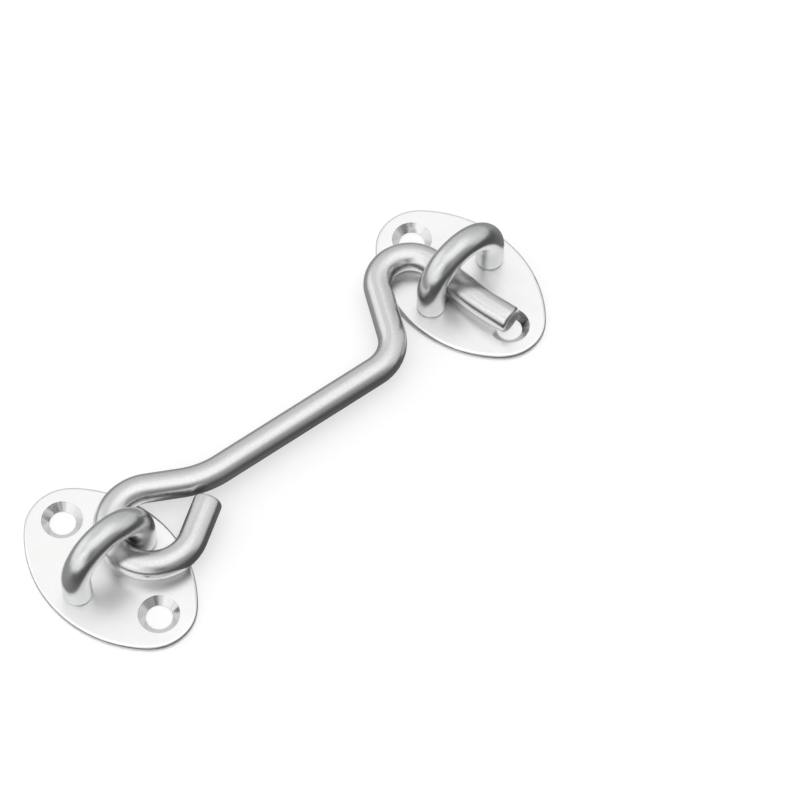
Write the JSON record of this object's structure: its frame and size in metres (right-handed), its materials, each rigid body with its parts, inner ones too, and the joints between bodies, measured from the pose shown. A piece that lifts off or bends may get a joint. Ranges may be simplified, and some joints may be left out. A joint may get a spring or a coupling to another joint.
{
  "type": "hook and eye latch",
  "caption": "Stainless steel hook and eye latch: a bent rod hook hangs by its eye on a staple on an oval plate and drops into a like staple on a matching plate.",
  "frame": {"origin": "middle of the eye plate's back face, midway between its screw holes", "axes": "+X from the eye plate to the catch plate, +Y along the plates' long axis on the side the hook lifts to, +Z out of the mounting surface"},
  "size_m": [0.1057, 0.0362, 0.0152],
  "materials": {
    "plate_steel": "polished",
    "staple_steel": "polished",
    "rod_steel": "satin"
  },
  "bodies": {
    "plates": {"eye_plate": "plate_steel", "eye_staple": "staple_steel", "catch_plate": "plate_steel", "catch_staple": "staple_steel"},
    "hook": {"hook_rod": "rod_steel"}
  },
  "joints": [
    {"name": "hook_swing", "type": "hinge", "parent": "plates", "child": "hook", "pos_m": [0.00715, 0, 0.0041], "axis": [0, 0, 1], "range_deg": [-3, 135]}
  ]
}
